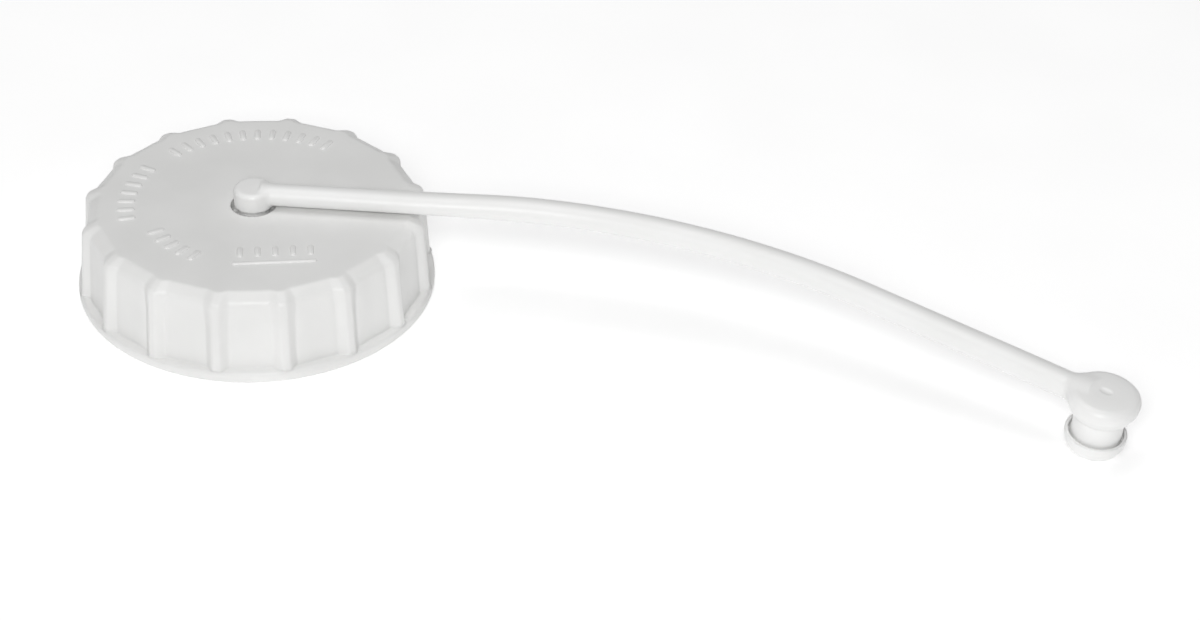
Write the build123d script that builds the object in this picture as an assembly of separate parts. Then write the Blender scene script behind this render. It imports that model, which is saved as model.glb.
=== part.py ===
from build123d import *
import math
import os

# Deck fill cap: a moulded screw cap with a sealing ring inside it, and a flexible tether strap
# that swivels in the middle of the cap and ends in a snap-in anchor plug.
#
# Millimetres. The origin is the centre of the cap's open mouth, on the plane of its lower rim,
# +Z points up through the cap's top, and the tether leaves the cap towards +X.

# Driving dimensions
CAP_HEIGHT = 16.8
BEAD_RADIUS = 32.0  # the cap's largest radius, on the bead round its lower rim
BEAD_HEIGHT = 2.3
BEAD_TOP_FILLET = 0.9
BEAD_BOTTOM_FILLET = 1.3
PANEL_FOOT_RADIUS = 30.4  # the side wall between the grip ribs, where it meets the bead
PANEL_TOP_RADIUS = 29.8  # the same wall under the chamfer
PANEL_TOP_HEIGHT = 15.4
TOP_FLAT_RADIUS = 27.7
TOP_THICKNESS = 2.2

GRIP_RIBS = 16
GRIP_RIB_WIDTH = 3.4
GRIP_RIB_PHASE = -77.1  # degrees from +X to the first rib, counted anticlockwise
GRIP_RIB_FOOT_RADIUS = 31.5
GRIP_RIB_TOP_RADIUS = 30.8
GRIP_RIB_SHOULDER_HEIGHT = 14.9  # the rib starts to lean in over the chamfer here
GRIP_RIB_CREST_HEIGHT = 16.6  # and dies into it here
GRIP_RIB_FILLET = 0.9

LEAD_IN_RADIUS = 28.5  # plain mouth that goes over the threaded neck
LEAD_IN_HEIGHT = 3.0
THREAD_ROOT_RADIUS = 28.0
THREAD_CREST_RADIUS = 26.9
THREAD_PITCH = 4.0
THREAD_TURNS = 1.75
THREAD_START_HEIGHT = 4.6
THREAD_ROOT_WIDTH = 2.0
THREAD_CREST_WIDTH = 0.9

SEAL_THICKNESS = 2.0
SEAL_INNER_RADIUS = 21.5
SEAL_OUTER_RADIUS = 27.7

SWIVEL_HOLE_RADIUS = 4.1
POST_RADIUS = 3.5
POST_TOP_HEIGHT = 20.5
BARB_RADIUS = 4.8
BARB_TIP_RADIUS = 3.1
BARB_LAND = 0.8
BARB_TAPER = 1.9
BARB_PLAY = 0.35  # between the barb and the underside of the cap's top
POST_SLOT_WIDTH = 1.1

STRAP_SIZES = (  # oval section: length along the strap, width, thickness
    (0.0, 4.3, 3.8),
    (30.0, 4.8, 3.8),  # no thicker than this over the cap's top
    (50.0, 5.0, 4.4),
    (170.0, 5.5, 4.4),
)
STRAP_START_HEIGHT = 19.0
STRAP_FIRST_HEADING = -6.0  # degrees from +X, seen from above
STRAP_SECOND_HEADING = -32.2
STRAP_FIRST_RUN = 77.9  # from the post's axis to the corner of the route
STRAP_SECOND_RUN = 82.7  # from that corner to the anchor plug's axis, in plan
STRAP_DROP = 7.85
STRAP_BEND_RADIUS = 155.0
FLEX_STATIONS = (42.0, 80.0, 118.0)  # length along the strap to each place where it bends
FLEX_GAP = 0.8
NOSE_FILLET = 1.7

PLUG_HEIGHT = 12.6
PLUG_TILT = 8.5  # degrees, its foot leaning back towards the cap
PLUG_STRAP_DEPTH = 2.0  # from the plug's top face down to the strap's centre line
PLUG_HEAD_RADIUS = 6.4
PLUG_HEAD_FOOT_RADIUS = 5.4
PLUG_HEAD_HEIGHT = 4.2
PLUG_NECK_RADIUS = 4.3
PLUG_SKIRT_RADIUS = 5.4
PLUG_SKIRT_HEIGHT = 3.9
PLUG_SKIRT_WALL = 0.4
PLUG_GROOVE_DEPTH = 2.4

os.makedirs("parts", exist_ok=True)


def turned(points):
    """A solid of revolution about +Z from (radius, height) corners."""
    outline = Polyline(*[(radius, 0, height) for radius, height in points], close=True)
    return revolve(make_face(outline), Axis.Z)


def cylinder(radius, low, high):
    return Pos(0, 0, low) * Cylinder(radius, high - low, align=(Align.CENTER, Align.CENTER, Align.MIN))


def save(solid, node):
    export_step(solid, f"parts/{node}.step")


# Cap shell


def cap_blank():
    """The outside of the cap, solid, without its ribs."""
    body = turned(
        [
            (0, 0),
            (PANEL_FOOT_RADIUS, 0),
            (PANEL_FOOT_RADIUS, BEAD_HEIGHT),
            (PANEL_TOP_RADIUS, PANEL_TOP_HEIGHT),
            (TOP_FLAT_RADIUS, CAP_HEIGHT),
            (0, CAP_HEIGHT),
        ]
    )
    bead = cylinder(BEAD_RADIUS, 0, BEAD_HEIGHT)
    bead = fillet(bead.edges().group_by(Axis.Z)[-1], BEAD_TOP_FILLET)
    bead = fillet(bead.edges().group_by(Axis.Z)[0], BEAD_BOTTOM_FILLET)
    return body + bead


def grip_rib():
    """One vertical grip rib, drawn on +X, with rounded outer corners."""
    side = Polyline(
        (PANEL_TOP_RADIUS - 2, 0, 1),
        (GRIP_RIB_FOOT_RADIUS, 0, 1),
        (GRIP_RIB_FOOT_RADIUS, 0, BEAD_HEIGHT),
        (GRIP_RIB_TOP_RADIUS, 0, GRIP_RIB_SHOULDER_HEIGHT),
        (TOP_FLAT_RADIUS + 0.7, 0, GRIP_RIB_CREST_HEIGHT),
        (PANEL_TOP_RADIUS - 2, 0, GRIP_RIB_CREST_HEIGHT),
        close=True,
    )
    rib = extrude(make_face(side), GRIP_RIB_WIDTH / 2, dir=(0, 1, 0), both=True)
    outer = [
        edge
        for edge in rib.edges()
        if abs(edge.center().Y) > GRIP_RIB_WIDTH / 2 - 0.01
        and edge.center().X > TOP_FLAT_RADIUS + 0.3
        and edge.center().Z > BEAD_HEIGHT
    ]
    return fillet(outer, GRIP_RIB_FILLET)


def thread():
    """The single-start right-hand thread that grips the neck, its flanks carried on into the wall."""
    helix = Helix(
        THREAD_PITCH,
        THREAD_PITCH * THREAD_TURNS,
        THREAD_ROOT_RADIUS,
        center=(0, 0, THREAD_START_HEIGHT),
    )
    depth = THREAD_ROOT_RADIUS - THREAD_CREST_RADIUS
    half_crest = THREAD_CREST_WIDTH / 2
    flank = (THREAD_ROOT_WIDTH - THREAD_CREST_WIDTH) / 2 / depth
    sink = 0.5
    half_base = THREAD_ROOT_WIDTH / 2 + flank * sink
    ridge = Polyline(
        (sink, -half_base),
        (sink, half_base),
        (-depth, half_crest),
        (-depth, -half_crest),
        close=True,
    )
    across = Plane(helix @ 0, x_dir=(1, 0, 0), z_dir=(0, -1, 0))
    return sweep(make_face(across * ridge), path=helix, is_frenet=True)


def cavity():
    """The room inside the cap, with its chamfered mouth, and the hole for the swivel post."""
    ceiling = CAP_HEIGHT - TOP_THICKNESS
    mouth_chamfer = 0.4
    corner_chamfer = 0.5
    room = turned(
        [
            (0, 0),
            (LEAD_IN_RADIUS + mouth_chamfer, 0),
            (LEAD_IN_RADIUS, mouth_chamfer),
            (LEAD_IN_RADIUS, LEAD_IN_HEIGHT),
            (THREAD_ROOT_RADIUS, LEAD_IN_HEIGHT + corner_chamfer),
            (THREAD_ROOT_RADIUS, ceiling - corner_chamfer),
            (THREAD_ROOT_RADIUS - corner_chamfer, ceiling),
            (0, ceiling),
        ]
    )
    return room + cylinder(SWIVEL_HOLE_RADIUS, 0, CAP_HEIGHT + 1)


def cap_shell():
    rib = grip_rib()
    pitch = 360 / GRIP_RIBS
    ribs = [Rot(0, 0, GRIP_RIB_PHASE + pitch * i) * rib for i in range(GRIP_RIBS)]
    return (cap_blank() + ribs) - cavity() + thread()


# Sealing gasket


def sealing_gasket():
    """A flat ring against the underside of the cap's top, with eased inner corners."""
    top = CAP_HEIGHT - TOP_THICKNESS
    ease = 0.3
    return turned(
        [
            (SEAL_INNER_RADIUS, top),
            (SEAL_INNER_RADIUS, top - SEAL_THICKNESS + ease),
            (SEAL_INNER_RADIUS + ease, top - SEAL_THICKNESS),
            (SEAL_OUTER_RADIUS - ease, top - SEAL_THICKNESS),
            (SEAL_OUTER_RADIUS, top - SEAL_THICKNESS + ease),
            (SEAL_OUTER_RADIUS, top - 1),
            (SEAL_OUTER_RADIUS - 0.8, top),
        ]
    )


# Tether strap


def strap_route():
    """The strap's centre line: a level run, one wide bend and a run that falls to the plug."""
    first = math.radians(STRAP_FIRST_HEADING)
    second = math.radians(STRAP_SECOND_HEADING)
    corner = (
        STRAP_FIRST_RUN * math.cos(first),
        STRAP_FIRST_RUN * math.sin(first),
        STRAP_START_HEIGHT,
    )
    end = (
        corner[0] + STRAP_SECOND_RUN * math.cos(second),
        corner[1] + STRAP_SECOND_RUN * math.sin(second),
        STRAP_START_HEIGHT - STRAP_DROP,
    )
    return FilletPolyline((0, 0, STRAP_START_HEIGHT), corner, end, radius=STRAP_BEND_RADIUS)


def section_plane(route, station):
    """The plane across the route at a length along it, with its x axis level."""
    share = station / route.length
    ahead = route % share
    level = Vector(0, 0, 1).cross(ahead)
    return Plane(route @ share, x_dir=level, z_dir=ahead)


def strap_section(route, station):
    """The oval across the strap at a length along it, its size read between the listed ones."""
    for (low, low_width, low_thickness), (high, high_width, high_thickness) in zip(STRAP_SIZES, STRAP_SIZES[1:]):
        if low <= station <= high:
            share = (station - low) / (high - low)
            width = low_width + (high_width - low_width) * share
            thickness = low_thickness + (high_thickness - low_thickness) * share
            return section_plane(route, station) * Ellipse(width / 2, thickness / 2)


def strap_span(route, start, end):
    """One stretch of the strap, lofted through sections along its route."""
    steps = 4
    stations = [start + (end - start) * i / steps for i in range(steps + 1)]
    return loft([strap_section(route, at) for at in stations])


def rounded_end(span, route, station):
    """Round the end of a span so that its neighbour can bend past it."""
    point = route @ (station / route.length)
    face = span.faces().sort_by_distance(point)[0]
    return fillet(face.edges(), NOSE_FILLET)


def swivel_post():
    """The boss on top, the round post through the cap and its slotted snap barb below."""
    barb_top = CAP_HEIGHT - TOP_THICKNESS - BARB_PLAY
    barb_foot = barb_top - BARB_LAND
    tip = barb_foot - BARB_TAPER
    ease = 0.4
    post = turned(
        [
            (0, tip),
            (BARB_TIP_RADIUS, tip),
            (BARB_RADIUS, barb_foot),
            (BARB_RADIUS, barb_top),
            (POST_RADIUS, barb_top),
            (POST_RADIUS, POST_TOP_HEIGHT - ease),
            (POST_RADIUS - ease, POST_TOP_HEIGHT),
            (0, POST_TOP_HEIGHT),
        ]
    )
    slot_height = CAP_HEIGHT - tip
    slot = Pos(0, 0, tip + slot_height / 2) * Box(POST_SLOT_WIDTH, 2 * BARB_RADIUS + 1, slot_height)
    return post - Rot(0, 0, STRAP_FIRST_HEADING) * slot


def anchor_plug(route):
    """The plug at the strap's far end, drawn upright from its top face and then tilted."""
    foot = -PLUG_HEIGHT
    rim = foot + PLUG_SKIRT_HEIGHT
    groove = rim - PLUG_GROOVE_DEPTH
    inner = PLUG_SKIRT_RADIUS - PLUG_SKIRT_WALL
    plug = turned(
        [
            (0, 0),
            (PLUG_HEAD_RADIUS - 1.1, 0),
            (PLUG_HEAD_RADIUS - 0.3, -0.4),
            (PLUG_HEAD_RADIUS, -1.2),
            (PLUG_HEAD_RADIUS - 0.1, -2.2),
            (PLUG_HEAD_FOOT_RADIUS, -PLUG_HEAD_HEIGHT),
            (PLUG_NECK_RADIUS, -PLUG_HEAD_HEIGHT),
            (PLUG_NECK_RADIUS, groove),
            (inner, groove),
            (inner, rim),
            (PLUG_SKIRT_RADIUS, rim),
            (PLUG_SKIRT_RADIUS, foot + 1.9),
            (PLUG_SKIRT_RADIUS - 0.5, foot + 0.8),
            (PLUG_SKIRT_RADIUS - 1.5, foot + 0.1),
            (PLUG_SKIRT_RADIUS - 2.0, foot),
            (0, foot),
        ]
    )
    seat = route @ 1
    return Pos(seat) * Rot(0, 0, STRAP_SECOND_HEADING) * Rot(0, PLUG_TILT, 0) * Pos(0, 0, PLUG_STRAP_DEPTH) * plug


def tether(route):
    """The strap's four spans, the first with its post and the last with its plug."""
    names = ("tether_swivel_end", "tether_inner_span", "tether_outer_span", "tether_plug_end")
    starts = [0] + [station + FLEX_GAP / 2 for station in FLEX_STATIONS]
    ends = [station - FLEX_GAP / 2 for station in FLEX_STATIONS] + [route.length]
    spans = {}
    for index, name in enumerate(names):
        span = strap_span(route, starts[index], ends[index])
        if index > 0:
            span = rounded_end(span, route, starts[index])
        if index < len(names) - 1:
            span = rounded_end(span, route, ends[index])
        spans[name] = span
    spans["tether_swivel_end"] += swivel_post()
    spans["tether_plug_end"] += anchor_plug(route)
    return spans


save(cap_shell(), "cap_shell")
save(sealing_gasket(), "sealing_gasket")
strap = strap_route()
for node, solid in tether(strap).items():
    save(solid, node)

print("strap length", round(strap.length, 1))
for station in FLEX_STATIONS:
    print("flex point", strap @ (station / strap.length), "heading", strap % (station / strap.length))
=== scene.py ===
import math

import bpy
import numpy as np
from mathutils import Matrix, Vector


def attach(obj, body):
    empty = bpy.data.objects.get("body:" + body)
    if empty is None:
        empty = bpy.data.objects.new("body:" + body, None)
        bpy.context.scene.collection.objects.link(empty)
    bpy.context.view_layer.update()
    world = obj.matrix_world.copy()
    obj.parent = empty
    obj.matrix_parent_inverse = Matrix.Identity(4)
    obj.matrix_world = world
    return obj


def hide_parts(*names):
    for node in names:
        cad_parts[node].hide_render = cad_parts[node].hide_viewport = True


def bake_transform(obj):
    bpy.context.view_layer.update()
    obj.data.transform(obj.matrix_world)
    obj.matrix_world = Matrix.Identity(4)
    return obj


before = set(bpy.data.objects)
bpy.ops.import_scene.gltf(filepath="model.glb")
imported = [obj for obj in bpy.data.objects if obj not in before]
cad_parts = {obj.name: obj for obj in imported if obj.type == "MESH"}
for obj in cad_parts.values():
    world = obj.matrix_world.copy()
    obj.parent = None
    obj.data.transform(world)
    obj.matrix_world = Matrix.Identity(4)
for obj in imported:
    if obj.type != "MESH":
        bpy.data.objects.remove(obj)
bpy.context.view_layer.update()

# The deck fill cap in metres, in the CAD frame: origin at the centre of the cap's mouth, +Z up.
# Shapes are worked out in millimetres and scaled once, when a mesh is made.
MM = 0.001

# Cap shell, millimetres
CAP_HEIGHT = 16.8
BEAD_RADIUS = 32.0
BEAD_HEIGHT = 2.25
PANEL_FOOT_RADIUS = 30.4
PANEL_TOP_RADIUS = 29.8
PANEL_TOP_HEIGHT = 15.4
PANEL_DIP = 0.22  # how far the middle of a panel lies inside a true circle
TOP_FLAT_RADIUS = 27.7
CEILING_HEIGHT = 14.6
HOLE_RADIUS = 4.1
LEAD_IN_RADIUS = 28.5
LEAD_IN_HEIGHT = 3.0
RIBS = 16
RIB_PHASE = math.radians(-77.1)
RIB_FOOT_RADIUS = 31.7
RIB_TOP_RADIUS = 30.85
RIB_SHOULDER_HEIGHT = 15.6
RIB_EDGE_STEP = 0.5  # how far a rib carries the flat top out past the panels' edge
RIB_FLAT_HALF = 0.35  # half width of a rib's outer face
RIB_BASE_HALF = 2.3  # half width where its flanks reach the panels
RIB_SWELL = 0.35  # how much wider each side of a rib is at its rounded top
RIB_SWELL_START = 11.0
RIB_SWELL_RUN = 4.0
THREAD_ROOT_RADIUS = 28.0
THREAD_DEPTH = 1.1
THREAD_PITCH = 4.0
THREAD_TURNS = 1.75
THREAD_START = 4.6
THREAD_ROOT_HALF = 1.0
THREAD_CREST_HALF = 0.45
THREAD_RUN_OUT = 0.06  # turns over which each end of the thread fades away

# Tether strap, millimetres and degrees
STRAP_STATIONS = (0.0, 30.0, 50.0, 170.0)  # lengths along the strap where its oval section is given
STRAP_WIDTHS = (4.3, 4.8, 5.0, 5.5)
STRAP_THICKNESSES = (3.8, 3.8, 4.4, 4.4)
STRAP_START = Vector((0, 0, 19.0))
FIRST_HEADING = math.radians(-6.0)
SECOND_HEADING = math.radians(-32.2)
FIRST_RUN = 77.9
SECOND_RUN = 82.7
STRAP_DROP = 7.85
BEND_RADIUS = 155.0
FLEX_STATIONS = (42.0, 80.0, 118.0)
POST_SEAM = 8.5  # strap length from the post's axis to where the plain strap starts
PLUG_SEAM = 11.0  # and from the plug's axis back to where it ends
SEAM_LAP = 1.5
UNDERSIZE = 0.02  # how far the ends' own strap stubs lie inside the plain strap that covers them

# Swivel post and anchor plug, millimetres
POST_RADIUS = 3.5
POST_WAIST = 2.8  # the post's radius within the hole
POST_TOP = 20.5
BARB_RADIUS = 4.8
BARB_PLAY = 0.35  # between the barb and the underside of the cap's top
SLOT_HALF = 0.55
PLUG_HEIGHT = 12.6
PLUG_TILT = math.radians(8.5)
PLUG_STRAP_DEPTH = 2.0  # from the plug's top face down to the strap's centre line
PLUG_SKIRT_HEIGHT = 3.9
PLUG_GROOVE_DEPTH = 1.2


def smooth(x):
    x = np.clip(x, 0.0, 1.0)
    return x * x * (3 - 2 * x)


# Mesh helpers


def make_object(name, points_mm, faces):
    mesh = bpy.data.meshes.new(name)
    mesh.from_pydata((np.asarray(points_mm) * MM).tolist(), [], faces)
    mesh.validate()
    mesh.polygons.foreach_set("use_smooth", [True] * len(mesh.polygons))
    mesh.update()
    piece = bpy.data.objects.new(name, mesh)
    bpy.context.scene.collection.objects.link(piece)
    return piece


def grid_faces(rows, columns, rows_close, columns_close):
    """Quads over a grid of points numbered row by row."""
    faces = []
    for i in range(rows if rows_close else rows - 1):
        for j in range(columns if columns_close else columns - 1):
            a, b = i * columns, (i + 1) % rows * columns
            k = (j + 1) % columns
            faces.append((a + j, a + k, b + k, b + j))
    return faces


def rounded_path(corners):
    """A closed path of (r, z) points through (r, z, rounding, steps) corners.

    Each corner is rounded, and the straight run after it gets steps points of its own.
    """
    points = [np.array(c[:2], float) for c in corners]
    count = len(points)
    path = []
    arc = np.linspace(0, 1, 6)[:, None]
    for i, (_, _, rounding, steps) in enumerate(corners):
        here = points[i]
        before, after = points[i - 1] - here, points[(i + 1) % count] - here
        before, after = before / np.linalg.norm(before), after / np.linalg.norm(after)
        half_turn = (math.pi - math.acos(np.clip(before @ after, -1, 1))) / 2
        cut = rounding * math.tan(half_turn)
        start, end = here + before * cut, here + after * cut
        path.extend((1 - arc) ** 2 * start + 2 * arc * (1 - arc) * here + arc**2 * end)
        if steps:
            path.append(np.array([np.nan, steps]))
    filled = []
    for i, point in enumerate(path):
        if not np.isnan(point[0]):
            filled.append(point)
            continue
        start, end = path[i - 1], path[(i + 1) % len(path)]
        share = np.linspace(0, 1, int(point[1]) + 2)[1:-1, None]
        filled.extend(start + (end - start) * share)
    return np.array(filled)


def lathe(name, corners, columns):
    """A ring turned about the z axis from a closed path."""
    path = rounded_path(corners)
    angle = np.linspace(0, 2 * math.pi, columns, endpoint=False)
    r, z = path[:, 0][:, None], path[:, 1][:, None]
    points = np.stack([r * np.cos(angle), r * np.sin(angle), z + 0 * angle], -1).reshape(-1, 3)
    return make_object(name, points, grid_faces(len(path), columns, True, True))


# Cap shell


def cap_curve(flat_edge, shoulder, foot):
    """The closed section of the cap wall, for one angle round the cap."""
    return rounded_path(
        [
            (HOLE_RADIUS, CAP_HEIGHT, 0.25, 10),
            (*flat_edge, 1.8, 1),
            (*shoulder, 1.6, 12),
            (*foot, 0.35, 0),
            (BEAD_RADIUS, BEAD_HEIGHT, 0.7, 1),
            (BEAD_RADIUS, 0, 1.1, 3),
            (LEAD_IN_RADIUS + 0.4, 0, 0.08, 0),
            (LEAD_IN_RADIUS, 0.4, 0.08, 3),
            (LEAD_IN_RADIUS, LEAD_IN_HEIGHT, 0.08, 0),
            (THREAD_ROOT_RADIUS, LEAD_IN_HEIGHT + 0.5, 0.08, 62),
            (THREAD_ROOT_RADIUS, CEILING_HEIGHT, 0.5, 8),
            (HOLE_RADIUS, CEILING_HEIGHT, 0.15, 2),
        ]
    )


def rib_columns():
    """Angles round the cap, close together on the flanks of each rib.

    With them go each angle's distance from the middle of its rib and half the ribs' pitch.
    """
    middle = PANEL_TOP_RADIUS + 1
    half_pitch = math.pi / RIBS * middle
    flank = np.arange(RIB_FLAT_HALF - 0.1, RIB_BASE_HALF + RIB_SWELL + 0.1, 0.13)
    face = np.array([0.0, RIB_FLAT_HALF - 0.2])
    panel = np.linspace(RIB_BASE_HALF + RIB_SWELL + 0.4, half_pitch, 6)
    side = np.concatenate([face, flank, panel])
    offsets = np.concatenate([-side[:0:-1], side[:-1]])
    angles = [RIB_PHASE + 2 * math.pi * i / RIBS + offsets / middle for i in range(RIBS)]
    return np.concatenate(angles), np.tile(np.abs(offsets), RIBS), half_pitch


def thread_height(angle, z):
    """How far the thread stands in from the wall at each angle and height."""
    turn = (angle / (2 * math.pi)) % 1.0
    height = np.zeros(np.broadcast(angle, z).shape)
    flank = THREAD_ROOT_HALF - THREAD_CREST_HALF
    for lap in range(math.ceil(THREAD_TURNS)):
        along = turn + lap
        middle = THREAD_START + THREAD_PITCH * along
        ridge = np.clip((THREAD_ROOT_HALF - np.abs(z - middle)) / flank, 0, 1)
        fade = smooth(along / THREAD_RUN_OUT) * smooth((THREAD_TURNS - along) / THREAD_RUN_OUT)
        height = np.maximum(height, ridge * fade)
    return height * THREAD_DEPTH


def cap_shell():
    flat_edge = (TOP_FLAT_RADIUS, CAP_HEIGHT)
    shoulder = (PANEL_TOP_RADIUS, PANEL_TOP_HEIGHT)
    foot = (PANEL_FOOT_RADIUS, BEAD_HEIGHT)
    panel = cap_curve(flat_edge, shoulder, foot)
    dipped = cap_curve(
        (TOP_FLAT_RADIUS - PANEL_DIP / 2, CAP_HEIGHT),
        (PANEL_TOP_RADIUS - PANEL_DIP, PANEL_TOP_HEIGHT),
        (PANEL_FOOT_RADIUS - PANEL_DIP, BEAD_HEIGHT),
    )
    rib = cap_curve(
        (TOP_FLAT_RADIUS + RIB_EDGE_STEP, CAP_HEIGHT),
        (RIB_TOP_RADIUS, RIB_SHOULDER_HEIGHT),
        (RIB_FOOT_RADIUS, BEAD_HEIGHT),
    )
    angle, offset, half_pitch = rib_columns()
    outside = panel[:, 0] > THREAD_ROOT_RADIUS + 0.2
    near_top = smooth((panel[:, 1] - RIB_SWELL_START) / RIB_SWELL_RUN) * outside
    base_half = RIB_BASE_HALF + RIB_SWELL * near_top[:, None]
    on_rib = 1 - smooth((offset[None, :] - RIB_FLAT_HALF) / (base_half - RIB_FLAT_HALF))
    in_panel = smooth((offset - RIB_BASE_HALF) / (half_pitch - RIB_BASE_HALF))
    section = (
        panel[:, None, :]
        + (rib - panel)[:, None, :] * on_rib[:, :, None]
        + (dipped - panel)[:, None, :] * in_panel[None, :, None]
    )
    r, z = section[..., 0].copy(), section[..., 1]
    wall = np.abs(panel[:, 0] - THREAD_ROOT_RADIUS) < 0.01
    r[wall] -= thread_height(angle[None, :], z[wall])
    points = np.stack([r * np.cos(angle), r * np.sin(angle), z], -1).reshape(-1, 3)
    piece = make_object("cap_moulding", points, grid_faces(len(panel), len(angle), True, True))
    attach(piece, "cap")
    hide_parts("cap_shell")
    return piece


# Raised marks on the top, a plain pattern of dashes


def raised_bar(centre, heading, length, width, height=0.26):
    """Corners of a low bar with sloping sides on the cap's top, and its faces."""
    along = np.array([math.cos(heading), math.sin(heading), 0])
    across = np.array([-along[1], along[0], 0])
    foot = CAP_HEIGHT - 0.1
    steps = 8
    end = np.linspace(-math.pi / 2, math.pi / 2, steps)
    half, radius = length / 2 - width / 2, width / 2
    outline = [(half + radius * math.cos(t), radius * math.sin(t)) for t in end]
    outline += [(-half - radius * math.cos(t), -radius * math.sin(t)) for t in end]
    rings = []
    for inset, level in ((-0.06, foot), (0.0, CAP_HEIGHT + 0.04), (0.1, CAP_HEIGHT + height * 0.8),
                         (0.22, CAP_HEIGHT + height)):
        shrink = 1 - inset / radius
        ring = []
        for u, v in outline:
            core = math.copysign(half, u)
            ring.append(centre + along * (core + (u - core) * shrink) + across * v * shrink + [0, 0, level])
        rings.append(ring)
    count = len(outline)
    faces = grid_faces(len(rings), count, False, True)
    faces.append(tuple(range(count))[::-1])
    faces.append(tuple((len(rings) - 1) * count + i for i in range(count)))
    return [p for ring in rings for p in ring], faces


def top_marks():
    """Three arcs of dashes, a short row of them and one straight bar under it."""
    points, faces = [], []

    def add(centre, heading, length, width):
        new_points, new_faces = raised_bar(np.array([*centre, 0.0]), heading, length, width)
        base = len(points)
        points.extend(new_points)
        faces.extend(tuple(base + i for i in face) for face in new_faces)

    for start, end, radius, count in ((58, 132, 22.8, 12), (150, 192, 22.8, 7), (208, 240, 19.0, 5)):
        for degrees in np.linspace(start, end, count):
            turn = math.radians(degrees)
            add((radius * math.cos(turn), radius * math.sin(turn)), turn, 3.2, 1.1)
    for step in range(5):
        add((-1.5 + 3.1 * step, -15.6 + 0.2 * step), math.radians(94), 3.0, 1.1)
    add((4.7, -18.6), math.radians(4), 15.0, 0.8)
    piece = make_object("cap_top_marks", points, faces)
    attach(piece, "cap")
    return piece


# Sealing gasket


def gasket():
    top, bottom = CEILING_HEIGHT - 0.01, CEILING_HEIGHT - 2.0
    piece = lathe(
        "gasket_ring",
        [
            (21.5, top, 0.15, 1),
            (26.9, top, 0.1, 0),
            (27.7, top - 0.9, 0.2, 1),
            (27.7, bottom, 0.3, 1),
            (26.2, bottom, 0.1, 0),
            (25.9, bottom + 0.25, 0.1, 0),
            (25.5, bottom + 0.25, 0.1, 0),
            (25.2, bottom, 0.1, 0),
            (24.0, bottom, 0.1, 0),
            (23.7, bottom + 0.25, 0.1, 0),
            (23.3, bottom + 0.25, 0.1, 0),
            (23.0, bottom, 0.1, 0),
            (21.5, bottom, 0.3, 1),
        ],
        columns=192,
    )
    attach(piece, "cap")
    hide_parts("sealing_gasket")
    return piece


# Tether strap


class Route:
    """The strap's centre line: a level run, one wide arc and a run that falls to the plug."""

    def __init__(self):
        first = Vector((math.cos(FIRST_HEADING), math.sin(FIRST_HEADING), 0))
        corner = STRAP_START + first * FIRST_RUN
        flat = Vector((math.cos(SECOND_HEADING), math.sin(SECOND_HEADING), 0))
        end = corner + flat * SECOND_RUN - Vector((0, 0, STRAP_DROP))
        second = (end - corner).normalized()
        turn = first.angle(second)
        cut = BEND_RADIUS * math.tan(turn / 2)
        self.first, self.second, self.turn = first, second, turn
        self.inward = (second - first * first.dot(second)).normalized()
        self.arc_start = FIRST_RUN - cut
        self.arc_end = self.arc_start + BEND_RADIUS * turn
        self.length = self.arc_end + (end - corner).length - cut
        self.end = end

    def at(self, station):
        """The point, heading, level side and up direction at a length along the strap."""
        if station <= self.arc_start:
            point, ahead = STRAP_START + self.first * station, self.first
        elif station >= self.arc_end:
            point, ahead = self.end + self.second * (station - self.length), self.second
        else:
            turned = (station - self.arc_start) / BEND_RADIUS
            ahead = self.first * math.cos(turned) + self.inward * math.sin(turned)
            start = STRAP_START + self.first * self.arc_start
            point = (
                start
                + self.first * BEND_RADIUS * math.sin(turned)
                + self.inward * BEND_RADIUS * (1 - math.cos(turned))
            )
        side = Vector((0, 0, 1)).cross(ahead).normalized()
        return point, ahead, side, ahead.cross(side)


route = Route()


def strap_size(station):
    """Half the width and half the thickness of the strap's oval section."""
    width = np.interp(station, STRAP_STATIONS, STRAP_WIDTHS)
    return width / 2, np.interp(station, STRAP_STATIONS, STRAP_THICKNESSES) / 2


def strap_section(station, steps=32):
    """Points round the strap's oval section."""
    point, _, side, up = route.at(station)
    half_width, half_thickness = strap_size(station)
    turns = np.linspace(0, 2 * math.pi, steps, endpoint=False)
    return [point + side * half_width * math.cos(t) + up * half_thickness * math.sin(t) for t in turns]


def strap_span(name, start, end, node):
    """One plain stretch of strap, from one station along it to another."""
    stations = np.linspace(start, end, int((end - start) / 0.8) + 1)
    rings = [strap_section(s) for s in stations]
    count = len(rings[0])
    points = [list(p) for ring in rings for p in ring]
    faces = [face[::-1] for face in grid_faces(len(rings), count, False, True)]
    faces.append(tuple(range(count)))
    faces.append(tuple((len(rings) - 1) * count + i for i in range(count))[::-1])
    piece = make_object(name, points, faces)
    for edge in piece.data.edges:
        one_ring = edge.vertices[0] // count == edge.vertices[1] // count
        if one_ring and edge.vertices[0] // count in (0, len(rings) - 1):
            edge.use_edge_sharp = True
    for end_face in list(piece.data.polygons)[-2:]:
        end_face.use_smooth = False
    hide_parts(node)
    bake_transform(piece)
    return piece


# Solid ends of the tether, each one smooth skin over a distance field


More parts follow.
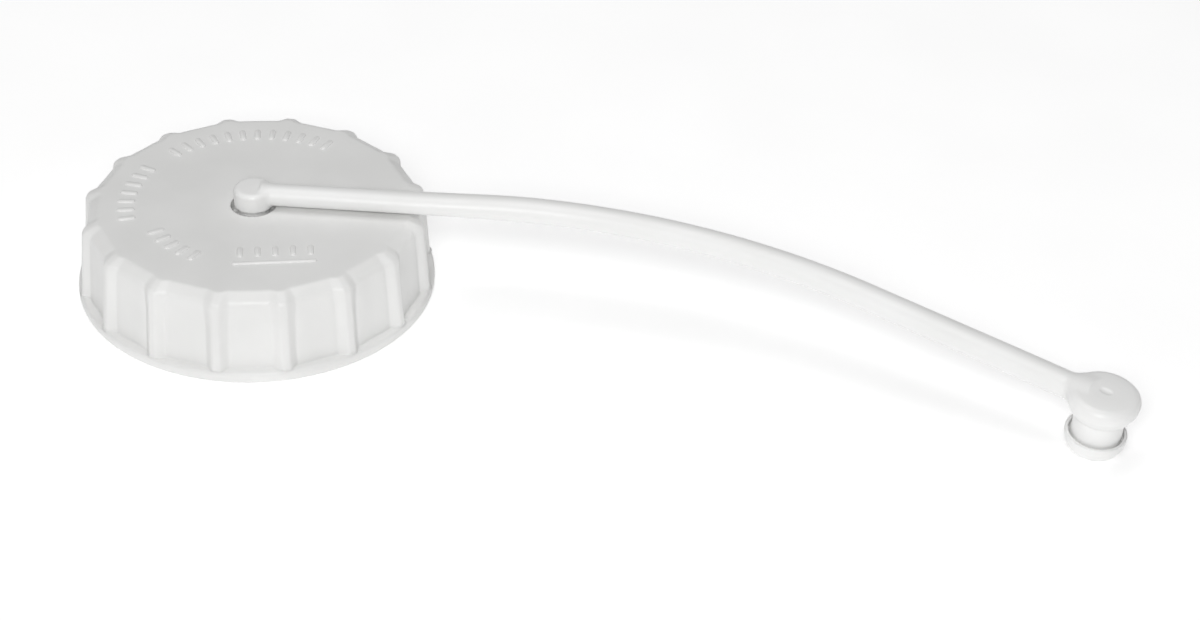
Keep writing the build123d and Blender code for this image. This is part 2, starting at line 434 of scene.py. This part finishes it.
def ring_profile(points, outline):
    """Signed distance in millimetres to a closed (r, z) outline turned about the z axis."""
    r = np.hypot(points[:, 0], points[:, 1])
    z = points[:, 2]
    nearest = np.full(len(r), np.inf)
    inside = np.zeros(len(r), bool)
    for (r0, z0), (r1, z1) in zip(outline, outline[1:] + outline[:1]):
        run, rise = r1 - r0, z1 - z0
        t = np.clip(((r - r0) * run + (z - z0) * rise) / (run * run + rise * rise), 0, 1)
        nearest = np.minimum(nearest, np.hypot(r - r0 - run * t, z - z0 - rise * t))
        crosses = (z0 > z) != (z1 > z)
        with np.errstate(divide="ignore", invalid="ignore"):
            inside ^= crosses & (r < run * (z - z0) / rise + r0)
    return np.where(inside, -nearest, nearest)


def strap_field(points, station, cut, towards_end):
    """Signed distance to the straight stretch of strap round a station, cut off square."""
    centre, ahead, side, up = (np.array(v) for v in route.at(station))
    local = points - centre
    along = local @ ahead
    a, b = strap_size(np.clip(station + along, 0, route.length))
    u, v = local @ side, local @ up
    reach = np.hypot(u / a, v / b)
    body = reach * (reach - 1) / (np.hypot(u / a**2, v / b**2) + 1e-6)
    return np.maximum(body, (cut - along) if towards_end else (along - cut))


def smooth_union(a, b, reach):
    """Two fields joined, with a fillet where they meet."""
    h = np.maximum(reach - np.abs(a - b), 0) / reach
    return np.minimum(a, b) - h * h * reach / 4


def skin(field, low, high, cell):
    """A closed mesh over a field's zero level: one point for each cell it passes through."""
    low, high = np.array(low, float), np.array(high, float)
    counts = np.ceil((high - low) / cell).astype(int) + 1
    axes = [low[i] + cell * np.arange(counts[i]) for i in range(3)]
    grid = np.stack(np.meshgrid(*axes, indexing="ij"), -1)
    value = field(grid.reshape(-1, 3)).reshape(counts)
    inside = value < 0
    total = np.zeros([*(counts - 1), 3])
    hits = np.zeros(counts - 1)
    for axis in range(3):
        others = [i for i in range(3) if i != axis]
        for du in (0, 1):
            for dv in (0, 1):
                a = [slice(0, n - 1) for n in counts]
                for other, step in zip(others, (du, dv)):
                    a[other] = slice(step, counts[other] - 1 + step)
                b = list(a)
                b[axis] = slice(1, counts[axis])
                a, b = tuple(a), tuple(b)
                crosses = inside[a] != inside[b]
                with np.errstate(divide="ignore", invalid="ignore"):
                    t = np.where(crosses, value[a] / (value[a] - value[b]), 0)
                total += np.where(crosses[..., None], grid[a] + (grid[b] - grid[a]) * t[..., None], 0)
                hits += crosses
    active = hits > 0
    number = np.full(active.shape, -1)
    number[active] = np.arange(active.sum())
    points = total[active] / hits[active][:, None]
    faces = []
    for axis in range(3):
        u, v = (axis + 1) % 3, (axis + 2) % 3
        a = [slice(1, n - 1) for n in counts]
        a[axis] = slice(0, counts[axis] - 1)
        b = list(a)
        b[axis] = slice(1, counts[axis])
        where = np.argwhere(inside[tuple(a)] != inside[tuple(b)])
        where[:, u] += 1
        where[:, v] += 1
        leaving = inside[tuple(where.T)]
        corners = []
        for du, dv in ((-1, -1), (0, -1), (0, 0), (-1, 0)):
            cells = where.copy()
            cells[:, u] += du
            cells[:, v] += dv
            corners.append(number[tuple(cells.T)])
        quads = np.stack(corners, 1)
        quads = np.where(leaving[:, None], quads, quads[:, ::-1])
        faces.extend(map(tuple, quads.tolist()))
    step = cell * 0.05
    for _ in range(3):
        here = field(points)
        slope = np.stack([(field(points + step * e) - field(points - step * e)) for e in np.eye(3)], 1)
        slope /= 2 * step
        size = np.maximum((slope**2).sum(1), 0.2)
        move = -(here / size)[:, None] * slope
        far = np.linalg.norm(move, axis=1, keepdims=True)
        points = points + move * np.minimum(1, 0.5 * cell / np.maximum(far, 1e-9))
    return points, faces


SKIN_CELL = 0.24


def swivel_end():
    """The boss, post and slotted snap barb, with the first stub of strap."""
    barb_top = CEILING_HEIGHT - BARB_PLAY
    outline = [
        (0, barb_top - 2.7),
        (3.0, barb_top - 2.7),
        (3.3, barb_top - 2.5),
        (BARB_RADIUS - 0.1, barb_top - 0.9),
        (BARB_RADIUS, barb_top - 0.6),
        (BARB_RADIUS, barb_top - 0.15),
        (BARB_RADIUS - 0.15, barb_top),
        (POST_RADIUS, barb_top),
        (POST_RADIUS, CEILING_HEIGHT + 0.2),
        (POST_WAIST, CEILING_HEIGHT + 0.7),
        (POST_WAIST, CAP_HEIGHT + 0.05),
        (POST_RADIUS - 0.1, CAP_HEIGHT + 0.05),
        (POST_RADIUS, CAP_HEIGHT + 0.15),
        (POST_RADIUS, POST_TOP - 0.9),
        (POST_RADIUS - 0.07, POST_TOP - 0.55),
        (POST_RADIUS - 0.26, POST_TOP - 0.26),
        (POST_RADIUS - 0.55, POST_TOP - 0.07),
        (POST_RADIUS - 0.9, POST_TOP),
        (0, POST_TOP + 0.05),
    ]
    ahead = np.array([math.cos(FIRST_HEADING), math.sin(FIRST_HEADING), 0])
    slot_top = CEILING_HEIGHT - 0.8
    strap_root = 1.5  # the stub of strap starts this far from the post's axis
    blend_reach = 0.7

    def field(points):
        post = ring_profile(points, outline)
        slot = np.minimum(SLOT_HALF - np.abs(points @ ahead), slot_top - points[:, 2])
        post = np.maximum(post, slot)
        strap = strap_field(points, 0.0, POST_SEAM + SEAM_LAP, False) + UNDERSIZE
        strap = np.maximum(strap, strap_root - points @ ahead)
        return smooth_union(post, strap, blend_reach)

    points, faces = skin(field, (-6, -7, 10.8), (11.5, 6, 21.5), SKIN_CELL)
    piece = make_object("tether_swivel_post", points, faces)
    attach(piece, "tether_root")
    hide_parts("tether_swivel_end")
    return piece


def plug_axes():
    """The plug's top centre and its own axes: ahead, side and up."""
    flat = Vector((math.cos(SECOND_HEADING), math.sin(SECOND_HEADING), 0))
    up = flat * math.sin(PLUG_TILT) + Vector((0, 0, math.cos(PLUG_TILT)))
    side = up.cross(flat).normalized()
    top = route.end + up * PLUG_STRAP_DEPTH
    return tuple(np.array(v) for v in (top, side.cross(up), side, up))


def plug_end():
    """The anchor plug with the last stub of strap."""
    top, ahead, side, up = plug_axes()
    foot = -PLUG_HEIGHT
    rim = foot + PLUG_SKIRT_HEIGHT
    groove = rim - PLUG_GROOVE_DEPTH
    outline = [
        (0, 0.1),
        (2.5, 0.08),
        (4.0, 0.0),
        (5.1, -0.12),
        (5.75, -0.35),
        (6.2, -0.75),
        (6.4, -1.3),
        (6.4, -1.8),
        (6.25, -2.6),
        (5.5, -4.05),
        (5.35, -4.2),
        (4.35, -4.25),
        (4.35, -4.5),
        (4.5, groove),
        (4.8, groove),
        (4.85, rim - 0.1),
        (4.95, rim),
        (5.35, rim),
        (5.45, rim - 0.12),
        (5.45, rim - 0.9),
        (5.2, foot + 2.0),
        (4.6, foot + 0.9),
        (3.9, foot + 0.25),
        (3.2, foot),
        (0, foot),
    ]

    strap_tip = -3.0  # the stub of strap ends within the head, this far behind the plug's axis
    blend_reach = 1.3
    dimple_centre = np.array([0, 0, 0.35])
    dimple_size = np.array([1.6, 1.0, 0.45])

    def field(points):
        local = (points - top) @ np.stack([ahead, side, up], 1)
        plug = ring_profile(local, outline)
        strap = strap_field(points, route.length, -PLUG_SEAM - SEAM_LAP, True) + UNDERSIZE
        strap = np.maximum(strap, local[:, 0] - strap_tip)
        body = smooth_union(plug, strap, blend_reach)
        dimple = np.linalg.norm((local - dimple_centre) / dimple_size, axis=1) - 1
        return np.maximum(body, -dimple * 0.4)

    centre = top + up * foot / 2
    reach = np.array([15.0, 13.0, 8.5])
    points, faces = skin(field, centre - reach, centre + [9, 9, 8.5], SKIN_CELL)
    piece = make_object("tether_anchor_plug", points, faces)
    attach(piece, "tether_end")
    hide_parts("tether_plug_end")
    return piece


def tether():
    """The whole tether: two solid ends and three plain spans, one round each flex station."""
    first, second, third = FLEX_STATIONS
    seams = (POST_SEAM, (first + second) / 2, (second + third) / 2, route.length - PLUG_SEAM)
    nodes = ("tether_inner_span", "tether_inner_span", "tether_outer_span")
    pieces = [swivel_end(), plug_end()]
    for i, flex in enumerate(FLEX_STATIONS):
        name = "tether_strap_" + "abc"[i]
        pieces.append(strap_span(name, seams[i], seams[i + 1], nodes[i]))
    return pieces


# Materials


def new_material(name):
    """An empty node material with a principled shader wired to its output."""
    material = bpy.data.materials.new(name)
    material.use_nodes = True
    nodes, links = material.node_tree.nodes, material.node_tree.links
    nodes.clear()
    shader = nodes.new("ShaderNodeBsdfPrincipled")
    output = nodes.new("ShaderNodeOutputMaterial")
    links.new(shader.outputs["BSDF"], output.inputs["Surface"])
    return material, nodes, links, shader


def noise(nodes, links, coordinates, scale, detail=3.0):
    texture = nodes.new("ShaderNodeTexNoise")
    texture.inputs["Scale"].default_value = scale
    texture.inputs["Detail"].default_value = detail
    links.new(coordinates.outputs["Object"], texture.inputs["Vector"])
    return texture.outputs["Fac"]


def ramp(nodes, links, source, low, high, start=0.35, end=0.65):
    """A colour ramp between two colours, over the middle of a noise."""
    node = nodes.new("ShaderNodeValToRGB")
    node.color_ramp.elements[0].position = start
    node.color_ramp.elements[0].color = (*low, 1)
    node.color_ramp.elements[1].position = end
    node.color_ramp.elements[1].color = (*high, 1)
    links.new(source, node.inputs["Fac"])
    return node.outputs["Color"]


def spread(nodes, links, source, low, high):
    """The middle of a noise stretched between two values."""
    node = nodes.new("ShaderNodeMapRange")
    node.inputs["From Min"].default_value = 0.3
    node.inputs["From Max"].default_value = 0.7
    node.inputs["To Min"].default_value = low
    node.inputs["To Max"].default_value = high
    links.new(source, node.inputs["Value"])
    return node.outputs["Result"]


def bump(nodes, links, source, height_mm, strength=1.0, below=None):
    node = nodes.new("ShaderNodeBump")
    node.inputs["Distance"].default_value = height_mm * MM
    node.inputs["Strength"].default_value = strength
    links.new(source, node.inputs["Height"])
    if below:
        links.new(below, node.inputs["Normal"])
    return node.outputs["Normal"]


def plastic(name, shade, deep, rough, grain_mm, wave_mm):
    """White moulded plastic: faint cloudiness, slow flow waves and a fine satin grain."""
    material, nodes, links, shader = new_material(name)
    place = nodes.new("ShaderNodeTexCoord")
    cloud = noise(nodes, links, place, 60, 4)
    links.new(ramp(nodes, links, cloud, deep, shade), shader.inputs["Base Color"])
    patch = noise(nodes, links, place, 140, 3)
    links.new(spread(nodes, links, patch, rough - 0.05, rough + 0.07), shader.inputs["Roughness"])
    wave = bump(nodes, links, noise(nodes, links, place, 110, 2), wave_mm)
    grain = bump(nodes, links, noise(nodes, links, place, 2600, 2), grain_mm, below=wave)
    links.new(grain, shader.inputs["Normal"])
    shader.inputs["IOR"].default_value = 1.49
    return material


def rubber(name):
    """Matt black rubber with a faint bloom."""
    material, nodes, links, shader = new_material(name)
    place = nodes.new("ShaderNodeTexCoord")
    bloom = noise(nodes, links, place, 320, 5)
    colour = ramp(nodes, links, bloom, (0.02, 0.02, 0.021), (0.045, 0.045, 0.047))
    links.new(colour, shader.inputs["Base Color"])
    links.new(spread(nodes, links, bloom, 0.55, 0.75), shader.inputs["Roughness"])
    links.new(bump(nodes, links, noise(nodes, links, place, 1800, 3), 0.02), shader.inputs["Normal"])
    return material


# Stage, light and camera


def floor():
    """A plain pale floor with a faint, even tooth."""
    size = 4.0
    mesh = bpy.data.meshes.new("floor")
    corners = [(-size, -size, -2e-5), (size, -size, -2e-5), (size, size, -2e-5), (-size, size, -2e-5)]
    mesh.from_pydata(corners, [], [(0, 1, 2, 3)])
    plane = bpy.data.objects.new("floor", mesh)
    bpy.context.scene.collection.objects.link(plane)
    material, nodes, links, shader = new_material("floor_white")
    place = nodes.new("ShaderNodeTexCoord")
    tone = noise(nodes, links, place, 30, 2)
    links.new(ramp(nodes, links, tone, (0.80, 0.80, 0.80), (0.82, 0.82, 0.82)), shader.inputs["Base Color"])
    shader.inputs["Roughness"].default_value = 0.9
    shader.inputs["Specular IOR Level"].default_value = 0.1
    shader.inputs["Emission Color"].default_value = (1, 1, 1, 1)
    shader.inputs["Emission Strength"].default_value = 0.375
    mesh.materials.append(material)


def area_light(name, location, target, size, power):
    """A square-cornered soft light aimed at a target."""
    light = bpy.data.lights.new(name, "AREA")
    light.shape = "RECTANGLE"
    light.size, light.size_y = size
    light.energy = power
    lamp = bpy.data.objects.new(name, light)
    lamp.location = location
    lamp.rotation_mode = "QUATERNION"
    lamp.rotation_quaternion = (Vector(target) - Vector(location)).to_track_quat("-Z", "Y")
    bpy.context.scene.collection.objects.link(lamp)


def lights():
    """An even pale sky and three soft boxes: front, overhead and left."""
    world = bpy.data.worlds.new("soft_studio")
    bpy.context.scene.world = world
    world.use_nodes = True
    background = world.node_tree.nodes["Background"]
    background.inputs["Color"].default_value = (1, 1, 1, 1)
    background.inputs["Strength"].default_value = 0.13
    middle = (0.05, 0, 0.01)
    area_light("front_softbox", (0, -0.95, 0.76), middle, (0.4, 0.4), 7.0)
    area_light("overhead_softbox", (0.05, 0.1, 1.2), middle, (0.8, 0.8), 5.5)
    area_light("left_softbox", (-1.0, -0.5, 0.5), middle, (0.5, 0.5), 1.0)
    bpy.context.scene.view_settings.view_transform = "Standard"


def camera():
    """A long lens in front of the part, looking down on it."""
    data = bpy.data.cameras.new("camera")
    data.sensor_width = 36
    data.lens = 142.07
    data.dof.use_dof = False
    view = bpy.data.objects.new("camera", data)
    view.location = (0.06179, -0.70566, 0.48200)
    view.rotation_euler = (math.radians(90 - 34.68), 0, 0)
    data.clip_start, data.clip_end = 0.01, 20
    bpy.context.scene.collection.objects.link(view)
    bpy.context.scene.camera = view


cap_pieces = [cap_shell(), top_marks()]
seal = gasket()
tether_pieces = tether()

cap_white = plastic(
    "cap_white_plastic",
    shade=(0.84, 0.84, 0.83),
    deep=(0.80, 0.80, 0.79),
    rough=0.42,
    grain_mm=0.006,
    wave_mm=0.02,
)
tether_white = plastic(
    "tether_white_plastic",
    shade=(0.91, 0.91, 0.905),
    deep=(0.885, 0.885, 0.875),
    rough=0.36,
    grain_mm=0.004,
    wave_mm=0.012,
)
for piece in cap_pieces:
    piece.data.materials.append(cap_white)
for piece in tether_pieces:
    piece.data.materials.append(tether_white)
seal.data.materials.append(rubber("gasket_rubber"))

floor()
lights()
camera()
